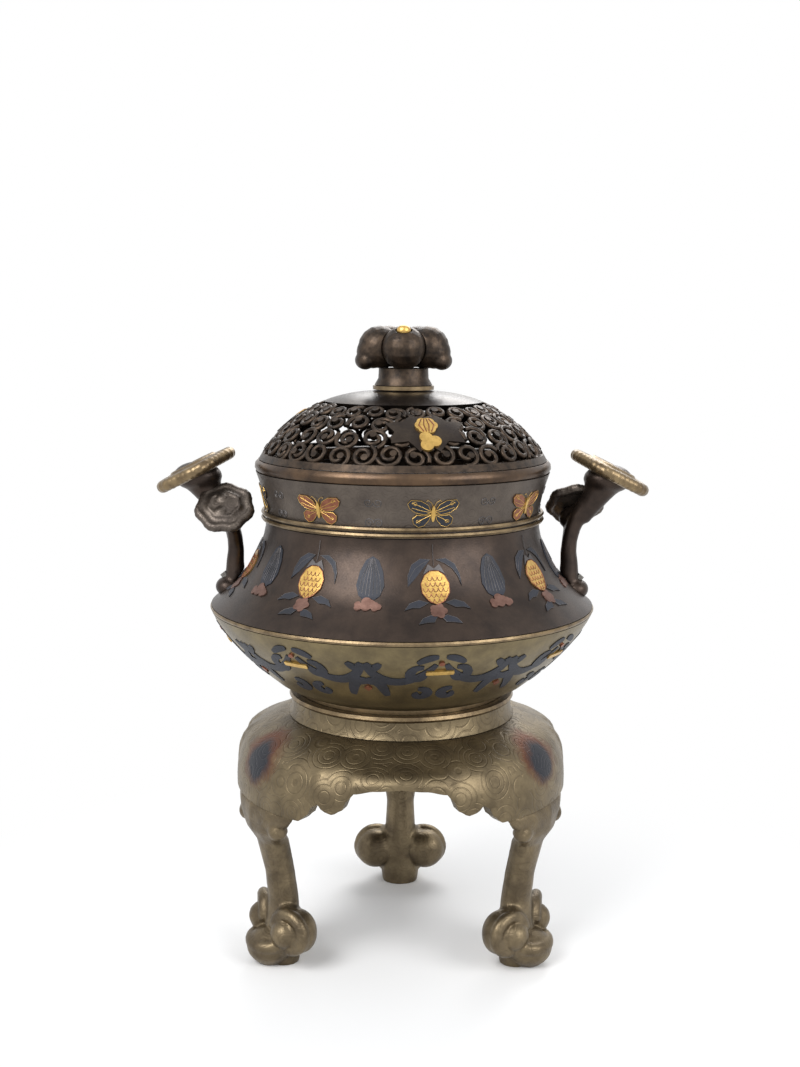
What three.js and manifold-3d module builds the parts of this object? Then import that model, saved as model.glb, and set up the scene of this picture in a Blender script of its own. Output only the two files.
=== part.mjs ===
// Tripod incense burner: a bronze bowl with two fungus-shaped handles and a pierced
// lid, standing loose in the collar of a three-legged stand.
// Millimetres, +Z up, origin on the floor under the centre, front of the burner at -Y.
import * as THREE from 'three';
import { mergeVertices } from 'three/addons/utils/BufferGeometryUtils.js';
import Module from 'manifold-3d';

const wasm = await Module();
wasm.setup();

// Driving dimensions, shared
const gap = 0.3;                // clearance between pieces that touch
const roundSteps = 36;          // facets round a large turned piece
const smallSteps = 12;          // facets round a small turned piece
const castWall = 2.6;           // wall of the cast bowl, neck and lid

// Driving dimensions, stand
const drumRadius = 71.8;
const drumBottom = 72;
const drumTop = 102.5;
const drumWall = 5.8;
const seatHoleRadius = 30;
const seatThickness = 4;
const collarRadius = 48;
const collarWall = 3;
const collarHeight = 7;
const collarBeadHeight = 2.2;
const archHalfWidth = 36;
const archRise = 17.7;
const archLobeDrop = 12;
const legAngles = { left: 210, right: 330, back: 90 };
const kneeHalfWidth = 25;
const ankleHalfWidth = 5.8;
const ankleRadius = 59;
const ankleHeight = 40;
const footRadius = 58;
const footCurlRadius = 5.6;
const footCurlSpread = 11;
const toeRadius = 8;
const dowelRadius = 1.5;
const dowelLength = 12;

// Driving dimensions, bowl
const footRingHeight = 11.6;
const footRingWall = 4;
const footRingClearance = 0.6;
const ridgeRadius = 82.4;
const bellyHeight = 34.7;
const ridgeBandHeight = 1.6;
const shoulderHeight = 35.4;
const neckRadius = 58.4;
const neckHeight = 21;
const lipRadius = 62.8;
const beadRadius = 0.9;
const beadPitch = 2.4;

// Driving dimensions, handles
const stalkRadius = 4.6;
const stalkReach = 12;
const stalkHeight = 47;
const largeCapRadius = 17.5;
const smallCapRadius = 11.5;
const capTilt = 28;
const pinRadius = 1.6;
const pinLength = 12;

// Driving dimensions, liner
const linerRadius = 54;
const linerHeight = 55;
const linerWall = 1.5;

// Driving dimensions, lid and finial
const lidRimHeight = 4.5;
const lidRimWidth = 7.5;
const flangeDepth = 5;
const flangeWall = 2;
const flangeClearance = 1.2;
const domeHeight = 29;
const piercings = 10;
const finialBaseRadius = 13;
const finialBaseHeight = 1.6;
const stemRadius = 10.5;
const stemHeight = 7;
const studRadius = 2.5;
const lobeCount = 5;
const lobeRadius = 9.2;
const lobeSpread = 10.6;
const buttonRadius = 3;
const nutRadius = 5.5;
const nutHeight = 3;
const washerRadius = 7.5;
const washerHeight = 1.2;

// Levels that follow from the sizes
const collarBottom = drumTop + gap;
const collarTop = collarBottom + collarHeight;
const footRingBottom = drumTop + gap;
const bellyBottom = footRingBottom + footRingHeight + gap;
const bellyTop = bellyBottom + bellyHeight;
const ridgeBottom = bellyTop + gap;
const shoulderBottom = ridgeBottom + ridgeBandHeight + gap;
const shoulderTop = shoulderBottom + shoulderHeight;
const neckBottom = shoulderTop + gap;
const neckTop = neckBottom + neckHeight;
const lidRimBottom = neckTop + gap;
const domeBottom = lidRimBottom + lidRimHeight + gap;
const domeTop = domeBottom + domeHeight;
const degree = Math.PI / 180;

// Geometry helpers
function solid(geometry) {
  geometry.deleteAttribute('normal');
  geometry.deleteAttribute('uv');
  const merged = mergeVertices(geometry, 1e-4);
  const position = merged.attributes.position.array;
  const corners = merged.index.array;
  const triangles = [];
  let volume = 0;
  for (let i = 0; i < corners.length; i += 3) {
    const [a, b, c] = corners.slice(i, i + 3);
    if (a === b || b === c || c === a) continue;
    triangles.push([a, b, c]);
    const [p, q, r] = [a, b, c].map((n) => new THREE.Vector3().fromArray(position, 3 * n));
    volume += p.dot(q.cross(r));
  }
  if (volume < 0) triangles.forEach((t) => t.reverse());
  return new wasm.Manifold(new wasm.Mesh({
    numProp: 3,
    vertProperties: Float32Array.from(position),
    triVerts: Uint32Array.from(triangles.flat()),
  }));
}

function turned(profile, steps = roundSteps) {
  const points = profile.map(([r, z]) => new THREE.Vector2(Math.max(r, 0), z));
  return new THREE.LatheGeometry(points, steps).rotateX(Math.PI / 2);
}

function closedRing(profile, steps) {
  return solid(turned([...profile, profile[0]], steps));
}

function smoothProfile(points, steps) {
  const curve = new THREE.SplineCurve(points.map(([r, z]) => new THREE.Vector2(r, z)));
  return curve.getPoints(steps).map((p) => [p.x, p.y]);
}

// A profile moved inwards by a wall: the outward normal of a rising profile is (dz, -dr).
function inset(profile, wall) {
  return profile.map(([r, z], i) => {
    const [r0, z0] = profile[Math.max(i - 1, 0)];
    const [r1, z1] = profile[Math.min(i + 1, profile.length - 1)];
    const run = Math.hypot(r1 - r0, z1 - z0);
    return [r - (wall * (z1 - z0)) / run, z + (wall * (r1 - r0)) / run];
  });
}

function cylinder(radius, z0, z1, steps = smallSteps) {
  return turned([[0, z0], [radius, z0], [radius, z1], [0, z1]], steps);
}

function ball(radius, x, y, z, steps = 10) {
  return solid(new THREE.SphereGeometry(radius, steps, Math.round(steps * 0.75)).translate(x, y, z));
}

function beadRing(radius, level, section = beadRadius) {
  const sides = 6;
  const profile = Array.from({ length: sides }, (_, i) => {
    const turn = (i * 2 * Math.PI) / sides;
    return [radius + section * Math.cos(turn), level + section * Math.sin(turn)];
  });
  return closedRing(profile, roundSteps);
}

function loft(rings) {
  const sides = rings[0].length;
  const last = (rings.length - 1) * sides;
  const index = [];
  for (let i = 0; i < rings.length - 1; i += 1) {
    for (let j = 0; j < sides; j += 1) {
      const a = i * sides + j;
      const b = i * sides + ((j + 1) % sides);
      index.push(a, b, b + sides, a, b + sides, a + sides);
    }
  }
  for (let j = 1; j < sides - 1; j += 1) {
    index.push(0, j + 1, j, last, last + j, last + j + 1);
  }
  const geometry = new THREE.BufferGeometry();
  const flat = rings.flat().flatMap((v) => [v.x, v.y, v.z]);
  geometry.setAttribute('position', new THREE.Float32BufferAttribute(flat, 3));
  geometry.setIndex(index);
  return solid(geometry);
}

function sweep(points, radiusAt, steps = 12, sides = 10) {
  const curve = new THREE.CatmullRomCurve3(points.map((p) => new THREE.Vector3(...p)));
  const frames = curve.computeFrenetFrames(steps, false);
  return loft(Array.from({ length: steps + 1 }, (_, i) => {
    const centre = curve.getPointAt(i / steps);
    const radius = radiusAt(i / steps);
    return Array.from({ length: sides }, (__, j) => {
      const turn = (j * 2 * Math.PI) / sides;
      return centre.clone()
        .addScaledVector(frames.normals[i], radius * Math.cos(turn))
        .addScaledVector(frames.binormals[i], radius * Math.sin(turn));
    });
  }));
}

// Materials
const bronze = (color, roughness) => new THREE.MeshStandardMaterial({ color, roughness, metalness: 0.8 });
const oliveBronze = bronze(0x6b5c38, 0.45);
const darkBronze = bronze(0x33271d, 0.5);
const brownBronze = bronze(0x4a3626, 0.45);
const brass = bronze(0xb08a45, 0.35);
const greyBronze = bronze(0x5b564e, 0.5);
const steel = bronze(0x77736c, 0.5);

const burner = new THREE.Group();

function place(name, shape, material) {
  const mesh = shape.getMesh();
  const geometry = new THREE.BufferGeometry();
  geometry.setAttribute('position', new THREE.BufferAttribute(mesh.vertProperties, 3));
  geometry.setIndex(new THREE.BufferAttribute(mesh.triVerts, 1));
  geometry.computeVertexNormals();
  const piece = new THREE.Mesh(geometry, material);
  piece.name = name;
  burner.add(piece);
}

// Stand: a domed drum with a bracket-shaped apron between the legs
function drumOutline() {
  const rise = drumTop - drumBottom;
  return smoothProfile([
    [drumRadius, drumBottom],
    [drumRadius - 0.4, drumBottom + 0.3 * rise],
    [drumRadius - 4.2, drumBottom + 0.66 * rise],
    [drumRadius - 12, drumBottom + 0.86 * rise],
    [collarRadius + 3, drumTop],
  ], 8);
}

function apronArch() {
  const lobeLevel = drumBottom + archRise - archLobeDrop;
  const arch = new THREE.Shape();
  arch.moveTo(-archHalfWidth, drumBottom - 5);
  arch.lineTo(-archHalfWidth, lobeLevel + 2.5);
  arch.quadraticCurveTo(-0.8 * archHalfWidth, lobeLevel - 2.5, -0.64 * archHalfWidth, lobeLevel + 2.5);
  arch.quadraticCurveTo(-0.6 * archHalfWidth, drumBottom + archRise - 2, 0, drumBottom + archRise);
  arch.quadraticCurveTo(0.6 * archHalfWidth, drumBottom + archRise - 2, 0.64 * archHalfWidth, lobeLevel + 2.5);
  arch.quadraticCurveTo(0.8 * archHalfWidth, lobeLevel - 2.5, archHalfWidth, lobeLevel + 2.5);
  arch.lineTo(archHalfWidth, drumBottom - 5);
  const depth = drumRadius - archHalfWidth + 4;
  return new THREE.ExtrudeGeometry(arch, { depth, bevelEnabled: false, curveSegments: 4 })
    .rotateX(Math.PI / 2)
    .translate(0, -archHalfWidth, 0);
}

const legDowelRadius = drumRadius - drumWall / 2;

function dowelSpace(angle, clearance) {
  const middle = drumBottom - gap;
  return solid(cylinder(dowelRadius + clearance, middle - dowelLength / 2 - clearance,
    middle + dowelLength / 2 + clearance, 8)
    .translate(legDowelRadius, 0, 0)
    .rotateZ(angle * degree));
}

function makeDrum() {
  const outside = drumOutline();
  const seatUnder = drumTop - seatThickness;
  let drum = closedRing([
    ...outside,
    [seatHoleRadius, drumTop],
    [seatHoleRadius, seatUnder],
    [collarRadius, seatUnder],
    [drumRadius - drumWall - 3, drumBottom + 0.62 * (drumTop - drumBottom)],
    [drumRadius - drumWall, drumBottom + 0.3 * (drumTop - drumBottom)],
    [drumRadius - drumWall, drumBottom],
  ]);
  for (const angle of Object.values(legAngles)) {
    drum = drum.subtract(solid(apronArch().rotateZ((angle + 150) * degree)));
    drum = drum.subtract(dowelSpace(angle, gap));
  }
  return drum;
}

// One leg, standing at +X before it is turned: a cabriole leg that curves with the drum
function makeLeg() {
  const level = drumBottom - gap;
  const stations = [
    [level, legDowelRadius, kneeHalfWidth, 2.8],
    [level - 4, legDowelRadius - 0.2, kneeHalfWidth - 3, 3.6],
    [level - 11, drumRadius - 5, kneeHalfWidth * 0.5, 4.8],
    [(level + ankleHeight) / 2 - 1, (drumRadius + ankleRadius) / 2 - 3, ankleHalfWidth + 2.6, 5.4],
    [ankleHeight, ankleRadius, ankleHalfWidth, 5.4],
    [ankleHeight * 0.7, footRadius - 0.5, ankleHalfWidth + 0.7, 5.6],
    [ankleHeight * 0.42, footRadius, ankleHalfWidth + 3.4, 6.2],
    [0, footRadius, ankleHalfWidth + 2, 6.5],
  ];
  const sides = 12;
  const shaft = loft(stations.map(([z, radius, halfWidth, halfDepth]) => (
    Array.from({ length: sides }, (_, j) => {
      const turn = (j * 2 * Math.PI) / sides;
      const reach = radius + halfDepth * Math.cos(turn);
      const swing = (halfWidth * Math.sin(turn)) / radius;
      return new THREE.Vector3(reach * Math.cos(swing), reach * Math.sin(swing), z);
    }))));
  const curlLevel = ankleHeight * 0.4;
  const toe = ball(toeRadius, footRadius + 6, 0, toeRadius - 1);
  let leg = shaft.add(toe);
  for (const side of [-1, 1]) {
    leg = leg.add(ball(footCurlRadius, footRadius + 4, side * footCurlSpread, curlLevel));
    leg = leg.add(ball(footCurlRadius, footRadius + 3, side * 0.55 * footCurlSpread, curlLevel - 6));
    const earSwing = (side * kneeHalfWidth * 0.62) / drumRadius;
    const earRadius = legDowelRadius - 0.5;
    leg = leg.add(ball(3.6, earRadius * Math.cos(earSwing), earRadius * Math.sin(earSwing), level - 8.5, 8));
  }
  const floor = solid(cylinder(drumRadius + 30, -30, 0));
  return leg.subtract(floor).subtract(dowelSpace(0, gap));
}

place('stand_drum', makeDrum(), oliveBronze);
const leg = makeLeg();
for (const [side, angle] of Object.entries(legAngles)) {
  place(`leg_${side}`, leg.rotate([0, 0, angle]), oliveBronze);
  place(`leg_dowel_${side}`, dowelSpace(angle, 0), steel);
}

place('stand_collar', closedRing([
  [collarRadius - collarWall, collarBottom],
  [collarRadius + 1.2, collarBottom],
  [collarRadius, collarBottom + 1.8],
  [collarRadius - 0.3, collarTop],
  [collarRadius - collarWall, collarTop],
]), oliveBronze);
place('collar_bead', closedRing([
  [collarRadius - collarWall, collarTop + gap],
  [collarRadius + 0.2, collarTop + gap],
  [collarRadius + 0.9, collarTop + gap + 0.4 * collarBeadHeight],
  [collarRadius + 0.4, collarTop + gap + collarBeadHeight],
  [collarRadius - collarWall, collarTop + gap + collarBeadHeight],
]), brass);

// Bowl
const footRingRadius = collarRadius - collarWall - footRingClearance;
place('bowl_foot_ring', closedRing([
  [footRingRadius - footRingWall, footRingBottom],
  [footRingRadius, footRingBottom],
  [footRingRadius, footRingBottom + footRingHeight],
  [footRingRadius - footRingWall, footRingBottom + footRingHeight],
]), brass);

const bellyOutside = smoothProfile([
  [footRingRadius + 2.2, bellyBottom],
  [footRingRadius + 9, bellyBottom + 0.09 * bellyHeight],
  [0.5 * (footRingRadius + ridgeRadius), bellyBottom + 0.33 * bellyHeight],
  [ridgeRadius - 10.8, bellyBottom + 0.57 * bellyHeight],
  [ridgeRadius - 3.8, bellyBottom + 0.82 * bellyHeight],
  [ridgeRadius - 0.3, bellyTop],
], 9);
const bellyInside = inset(bellyOutside, castWall).slice(1, -1).reverse();
const bowlFloor = bellyBottom + castWall + 0.8;
place('bowl_belly', solid(turned([
  [0, bellyBottom],
  ...bellyOutside,
  [ridgeRadius - castWall - 1.2, bellyTop],
  ...bellyInside.filter(([, z]) => z > bowlFloor + 0.5 && z < bellyTop - 0.5),
  [footRingRadius, bowlFloor],
  [0, bowlFloor],
])), oliveBronze);

place('bowl_ridge_band', closedRing([
  [ridgeRadius - castWall - 1, ridgeBottom],
  [ridgeRadius - 0.2, ridgeBottom],
  [ridgeRadius + 0.2, ridgeBottom + ridgeBandHeight / 2],
  [ridgeRadius - 0.2, ridgeBottom + ridgeBandHeight],
  [ridgeRadius - castWall - 1, ridgeBottom + ridgeBandHeight],
]), brass);

const shoulderRun = ridgeRadius - neckRadius;
const shoulderOutside = smoothProfile([
  [ridgeRadius - 0.3, shoulderBottom],
  [ridgeRadius - 0.26 * shoulderRun, shoulderBottom + 0.14 * shoulderHeight],
  [ridgeRadius - 0.59 * shoulderRun, shoulderBottom + 0.35 * shoulderHeight],
  [ridgeRadius - 0.81 * shoulderRun, shoulderBottom + 0.6 * shoulderHeight],
  [neckRadius + 0.9, shoulderBottom + 0.84 * shoulderHeight],
  [neckRadius + 0.2, shoulderTop],
], 9);
const shoulderInside = inset(shoulderOutside, castWall).slice(1, -1).reverse();
const shoulderProfile = [
  ...shoulderOutside,
  [neckRadius - castWall, shoulderTop],
  ...shoulderInside.filter(([, z]) => z > shoulderBottom + 0.5 && z < shoulderTop - 0.5),
  [ridgeRadius - castWall - 1.6, shoulderBottom],
];

const neckOutside = smoothProfile([
  [neckRadius, neckBottom],
  [neckRadius + 0.2, neckBottom + 0.25 * neckHeight],
  [neckRadius + 1.9, neckBottom + 0.63 * neckHeight],
  [lipRadius, neckTop],
], 5);
const neckInside = neckOutside.map(([r, z]) => [r - castWall, z]).reverse();
place('bowl_neck', closedRing([...neckOutside, ...neckInside]), greyBronze);
const beadCentre = neckRadius + gap + beadRadius + 0.1;
place('neck_bead_lower', beadRing(beadCentre, neckBottom + beadRadius + gap), brass);
place('neck_bead_upper', beadRing(beadCentre, neckBottom + beadRadius + gap + beadPitch), brass);

// Handles: a fungus stalk with a large tilted cap and a small cap on its own branch
const rootRadius = ridgeRadius - 8.4;
const rootLevel = shoulderBottom + 0.17 * shoulderHeight;
const capCentre = [rootRadius + stalkReach + 4.5, 0, rootLevel + stalkHeight];
const smallCapCentre = [rootRadius + 1.4, stalkRadius + 5.2, rootLevel + 0.73 * stalkHeight];
const capTurn = new THREE.Matrix4().makeRotationY(capTilt * degree)
  .setPosition(new THREE.Vector3(...capCentre));
const smallCapTurn = new THREE.Matrix4().makeRotationX(-66 * degree)
  .setPosition(new THREE.Vector3(...smallCapCentre));

function cap(radius, squeeze) {
  const crown = radius * 0.3;
  return turned([
    [0, 0], [radius - 3, 0], [radius - 2, -1.3], [radius - 0.3, -0.8], [radius, 1.2],
    [radius - 1.6, 2.5], [radius - 3.6, 2.2], [0.5 * radius, crown], [0, crown + 0.5],
  ], 24).scale(1, squeeze, 1);
}

function capSpace(matrix) {
  return solid(cylinder(largeCapRadius + 8, -gap, largeCapRadius).applyMatrix4(matrix));
}

// The pin stands square to the shoulder where the stalk's root sits.
const pinLean = 38;
function pinSpace(clearance) {
  return solid(cylinder(pinRadius + clearance, -pinLength / 2 - clearance, pinLength / 2 + clearance, 8)
    .rotateY(pinLean * degree)
    .translate(rootRadius, 0, rootLevel + 0.6));
}

const shoulderSpace = solid(turned([
  [0, shoulderBottom - 5],
  [ridgeRadius, shoulderBottom - 5],
  ...shoulderOutside.map(([r, z]) => [r + gap, z + gap]),
  [0, shoulderTop + gap],
]));

const stalk = sweep([
  [rootRadius - 3, 0, rootLevel - 5],
  [rootRadius - 1.6, 0, rootLevel + 0.15 * stalkHeight],
  [rootRadius - 2, 0, rootLevel + 0.4 * stalkHeight],
  [rootRadius + 1.5, 0, rootLevel + 0.66 * stalkHeight],
  [rootRadius + stalkReach - 3, 0, rootLevel + 0.86 * stalkHeight],
  [capCentre[0] + 2, 0, capCentre[2] + 3],
], (t) => stalkRadius * (1.25 - 0.5 * Math.sin(Math.PI * Math.min(t * 1.15, 1))))
  .add(sweep([
    [rootRadius - 2, 0, rootLevel + 0.36 * stalkHeight],
    [rootRadius - 1, 3, rootLevel + 0.56 * stalkHeight],
    [smallCapCentre[0], smallCapCentre[1] - 4, smallCapCentre[2] - 2],
    [smallCapCentre[0], smallCapCentre[1] + 3, smallCapCentre[2] + 1],
  ], () => stalkRadius * 0.7, 7, 8))
  .subtract(capSpace(capTurn))
  .subtract(capSpace(smallCapTurn))
  .subtract(shoulderSpace)
  .subtract(pinSpace(gap));

let shoulder = closedRing(shoulderProfile);
for (const [side, angle] of [['left', 180], ['right', 0]]) {
  const turn = [0, 0, angle];
  place(`handle_stalk_${side}`, stalk.rotate(turn), brownBronze);
  place(`handle_cap_${side}`, solid(cap(largeCapRadius, 0.9).applyMatrix4(capTurn)).rotate(turn), brass);
  place(`handle_small_cap_${side}`,
    solid(cap(smallCapRadius, 0.8).applyMatrix4(smallCapTurn)).rotate(turn), greyBronze);
  place(`handle_pin_${side}`, pinSpace(0).rotate(turn), steel);
  shoulder = shoulder.subtract(pinSpace(gap).rotate(turn));
}
place('bowl_shoulder', shoulder, brownBronze);

// Liner: a loose ash pan that lifts out through the neck
const linerBottom = bowlFloor + gap;
place('ash_liner', solid(turned([
  [0, linerBottom],
  [0.72 * linerRadius, linerBottom],
  [0.93 * linerRadius, linerBottom + 0.2 * linerHeight],
  [linerRadius, linerBottom + 0.45 * linerHeight],
  [linerRadius, linerBottom + linerHeight],
  [linerRadius - linerWall, linerBottom + linerHeight],
  [linerRadius - linerWall, linerBottom + 0.45 * linerHeight],
  [0.93 * linerRadius - linerWall, linerBottom + 0.2 * linerHeight + 0.5],
  [0.7 * linerRadius, linerBottom + linerWall],
  [0, linerBottom + linerWall],
])), steel);

// Lid: rim, locating flange and pierced dome
const flangeRadius = neckRadius - castWall - flangeClearance + 2;
place('lid_flange', closedRing([
  [flangeRadius - flangeWall, neckTop - flangeDepth],
  [flangeRadius, neckTop - flangeDepth],
  [flangeRadius, neckTop],
  [flangeRadius - flangeWall, neckTop],
]), darkBronze);
place('lid_rim', closedRing([
  [lipRadius - lidRimWidth, lidRimBottom],
  [lipRadius - 0.4, lidRimBottom],
  [lipRadius + 0.4, lidRimBottom + 0.3 * lidRimHeight],
  [lipRadius + 0.2, lidRimBottom + 0.7 * lidRimHeight],
  [lipRadius - 1, lidRimBottom + lidRimHeight],
  [lipRadius - lidRimWidth, lidRimBottom + lidRimHeight],
]), brownBronze);

const domeRadius = lipRadius - 1.4;
const domeOutside = smoothProfile([
  [domeRadius, domeBottom],
  [0.91 * domeRadius, domeBottom + 0.3 * domeHeight],
  [0.75 * domeRadius, domeBottom + 0.6 * domeHeight],
  [0.54 * domeRadius, domeBottom + 0.86 * domeHeight],
  [0.3 * domeRadius, domeBottom + 0.98 * domeHeight],
  [studRadius + gap, domeTop],
], 7);

function domeFrame(share, turn) {
  const exact = share * (domeOutside.length - 1);
  const low = Math.min(Math.floor(exact), domeOutside.length - 2);
  const [r0, z0] = domeOutside[low];
  const [r1, z1] = domeOutside[low + 1];
  const mix = exact - low;
  const up = new THREE.Vector3(r1 - r0, 0, z1 - z0).normalize();
  const across = new THREE.Vector3(0, 1, 0);
  const out = new THREE.Vector3().crossVectors(across, up).negate();
  const centre = new THREE.Vector3(r0 + mix * (r1 - r0), 0, z0 + mix * (z1 - z0));
  return new THREE.Matrix4().makeBasis(across, up, out.negate())
    .setPosition(centre)
    .premultiply(new THREE.Matrix4().makeRotationZ(turn));
}

// A curled drop, the shape between two tendrils
function drop(size, side) {
  const shape = new THREE.Shape();
  shape.moveTo(side * 0.5 * size, 1.05 * size);
  shape.quadraticCurveTo(-side * 0.2 * size, 0.9 * size, -side * 0.55 * size, 0);
  shape.quadraticCurveTo(-side * 0.3 * size, -0.75 * size, side * 0.25 * size, -0.55 * size);
  shape.quadraticCurveTo(side * 0.75 * size, -0.1 * size, side * 0.2 * size, 0.35 * size);
  return shape;
}

let dome = closedRing([...domeOutside, ...inset(domeOutside, castWall).reverse()
  .map(([r, z], i) => [Math.max(r, studRadius + gap), i === domeOutside.length - 1 ? domeBottom : z])]);
const piercingRows = [
  { share: 0.17, size: 6.4, shift: 0.25, side: 1 },
  { share: 0.17, size: 6.4, shift: 0.75, side: -1 },
  { share: 0.42, size: 5.6, shift: 0, side: 1 },
];
for (let sector = 0; sector < piercings; sector += 1) {
  for (const { share, size, shift, side } of piercingRows) {
    const turn = ((sector + shift) * 2 * Math.PI) / piercings;
    const cutter = new THREE.ExtrudeGeometry(drop(size, side),
      { depth: 4 * castWall, bevelEnabled: false, curveSegments: 2 })
      .translate(0, 0, -2 * castWall)
      .applyMatrix4(domeFrame(share, turn));
    dome = dome.subtract(solid(cutter));
  }
}
place('lid_dome', dome, darkBronze);

// Finial: a base ring and stem on a stud through the crown, with a five-lobed head
const finialBottom = domeTop + gap;
const stemBottom = finialBottom + finialBaseHeight + gap;
const stemTop = stemBottom + stemHeight;
const headLevel = stemTop + lobeRadius * 0.95;
const washerTop = domeTop - castWall - gap;
const nutTop = washerTop - washerHeight - gap;
place('finial_base_ring', closedRing([
  [studRadius + gap, finialBottom],
  [finialBaseRadius, finialBottom],
  [finialBaseRadius, finialBottom + finialBaseHeight],
  [studRadius + gap, finialBottom + finialBaseHeight],
], 32), brass);
place('finial_stem', solid(turned([
  [0, nutTop - nutHeight - 1],
  [studRadius, nutTop - nutHeight - 1],
  [studRadius, stemBottom],
  [stemRadius + 1.8, stemBottom],
  [stemRadius + 0.2, stemBottom + 0.4 * stemHeight],
  [stemRadius, stemTop],
  [studRadius + 1.5, stemTop],
  [studRadius + 1.5, headLevel],
  [0, headLevel],
], 32)), darkBronze);
place('finial_washer', closedRing([
  [studRadius + gap, washerTop - washerHeight],
  [washerRadius, washerTop - washerHeight],
  [washerRadius, washerTop],
  [studRadius + gap, washerTop],
], smallSteps), steel);
const studSpace = solid(cylinder(studRadius + gap, nutTop - nutHeight - 2, nutTop + 2));
place('finial_nut', solid(cylinder(nutRadius, nutTop - nutHeight, nutTop, 6)).subtract(studSpace), steel);

const coreSpace = solid(cylinder(studRadius + 1.5 + gap, stemTop - 1, headLevel + gap, smallSteps));
const belowHead = solid(cylinder(3 * lobeRadius, stemTop - 3 * lobeRadius, stemTop + gap));
const buttonAt = lobeSpread + 3.6;
const buttonLevel = headLevel + lobeRadius * 0.78;
const buttonShape = (clearance) => solid(new THREE.SphereGeometry(buttonRadius + clearance, 12, 9)
  .scale(1, 1, 0.8).translate(buttonAt, 0, buttonLevel)).rotate([0, 0, -90]);
const sectorHalf = Math.PI / lobeCount;
for (let i = 0; i < lobeCount; i += 1) {
  const reach = 3 * lobeRadius;
  const wedge = new THREE.Shape([
    new THREE.Vector2(gap, 0),
    new THREE.Vector2(gap + reach * Math.cos(sectorHalf), -reach * Math.sin(sectorHalf)),
    new THREE.Vector2(gap + reach * Math.cos(sectorHalf), reach * Math.sin(sectorHalf)),
  ]);
  const sector = solid(new THREE.ExtrudeGeometry(wedge, { depth: 4 * lobeRadius, bevelEnabled: false })
    .translate(0, 0, stemTop - lobeRadius));
  const lobe = solid(new THREE.SphereGeometry(lobeRadius, 16, 12).translate(lobeSpread, 0, headLevel))
    .intersect(sector)
    .subtract(coreSpace)
    .subtract(belowHead)
    .rotate([0, 0, -90 + (i * 360) / lobeCount]);
  place(`finial_lobe_${i + 1}`, i === 0 ? lobe.subtract(buttonShape(gap)) : lobe, darkBronze);
}
place('finial_button', buttonShape(0), brass);

export default burner;
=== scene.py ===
# %% [markdown]
# A bronze incense burner: a bowl with a pierced lid stands in a three-legged stand. The packed
# CAD model gives every size and place, and this script dresses it. It spins the turned pieces
# smooth, lays butterflies and flowers on them, curls an openwork dome, and gives every surface
# its patina. Blender works in metres, and sizes are written here in millimetres: MM turns them
# into metres, either where a size is named or in the helper that uses it.

# %% Load the frame
import math

import bmesh
import bpy
from mathutils import Matrix, Vector


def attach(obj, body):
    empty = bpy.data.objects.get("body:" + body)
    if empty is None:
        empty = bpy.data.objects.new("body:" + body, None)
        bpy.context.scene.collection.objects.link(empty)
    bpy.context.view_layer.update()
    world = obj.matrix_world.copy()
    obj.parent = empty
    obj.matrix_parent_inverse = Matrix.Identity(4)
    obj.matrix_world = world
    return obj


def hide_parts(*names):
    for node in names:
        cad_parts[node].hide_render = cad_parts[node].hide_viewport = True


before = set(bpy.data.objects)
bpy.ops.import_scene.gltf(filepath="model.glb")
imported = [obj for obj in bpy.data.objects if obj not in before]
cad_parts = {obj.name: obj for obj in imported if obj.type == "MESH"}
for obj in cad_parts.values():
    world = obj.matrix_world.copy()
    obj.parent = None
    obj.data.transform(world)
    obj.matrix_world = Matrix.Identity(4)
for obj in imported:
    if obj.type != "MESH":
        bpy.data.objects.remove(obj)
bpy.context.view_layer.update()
MM = 0.001
FULL_TURN = 2 * math.pi

# %% [markdown]
# The camera stands about 60 cm away, level with the finial, and looks slightly down. Such a
# short distance gives the strong perspective: the rim is seen flat and the feet from above.
# The lens follows from the picture's half width and focal length, both in pixels.

# %% Camera
CAMERA_DISTANCE = 598 * MM
CAMERA_HEIGHT = 271 * MM
CAMERA_PITCH = 0.150
CAMERA_YAW = 0.0017
CAMERA_ROLL = 0.007
HALF_WIDTH_PX = 400
FOCAL_PX = 1400

eye = bpy.data.cameras.new("camera")
eye.sensor_fit = "HORIZONTAL"
eye.angle = 2 * math.atan(HALF_WIDTH_PX / FOCAL_PX)
camera = bpy.data.objects.new("camera", eye)
bpy.context.collection.objects.link(camera)
camera.matrix_world = (
    Matrix.Translation((0, -CAMERA_DISTANCE, CAMERA_HEIGHT))
    @ Matrix.Rotation(CAMERA_YAW, 4, "Z")
    @ Matrix.Rotation(math.pi / 2 - CAMERA_PITCH, 4, "X")
    @ Matrix.Rotation(CAMERA_ROLL, 4, "Z")
)
bpy.context.scene.camera = camera
print("camera", tuple(camera.location))

# %% [markdown]
# A material is a tree of nodes. Each could be added and linked in several lines, but one
# helper keeps the trees short: a value that is another node's socket is linked, and any other
# value is written on the input.


# %% A helper for material nodes
def add_node(tree, kind, inputs, **settings):
    node = tree.nodes.new(kind)
    for name, setting in settings.items():
        setattr(node, name, setting)
    for name, value in inputs.items():
        if isinstance(value, bpy.types.NodeSocket):
            tree.links.new(value, node.inputs[name])
        else:
            node.inputs[name].default_value = value
    return node


# %% [markdown]
# Old bronze isn't one colour. On the real burner the patina drifts between two tones, and the
# cast skin is finely grained. One slow noise moves between the two base colours, and one fine
# noise makes the roughness uneven and raises a slight bump, so no image is needed.

# %% Patina and cast skin
DRIFT_FROM = 0.36
DRIFT_TO = 0.64
DRIFT_DETAIL = 6
DRIFT_ROUGHNESS = 0.65
GRAIN_SCALE = 1400
GRAIN_DETAIL = 3
GRAIN_DEPTH = 0.1 * MM
GRAIN_STRENGTH = 0.25
SMOOTHER_BY = 0.1
ROUGHER_BY = 0.14


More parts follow.
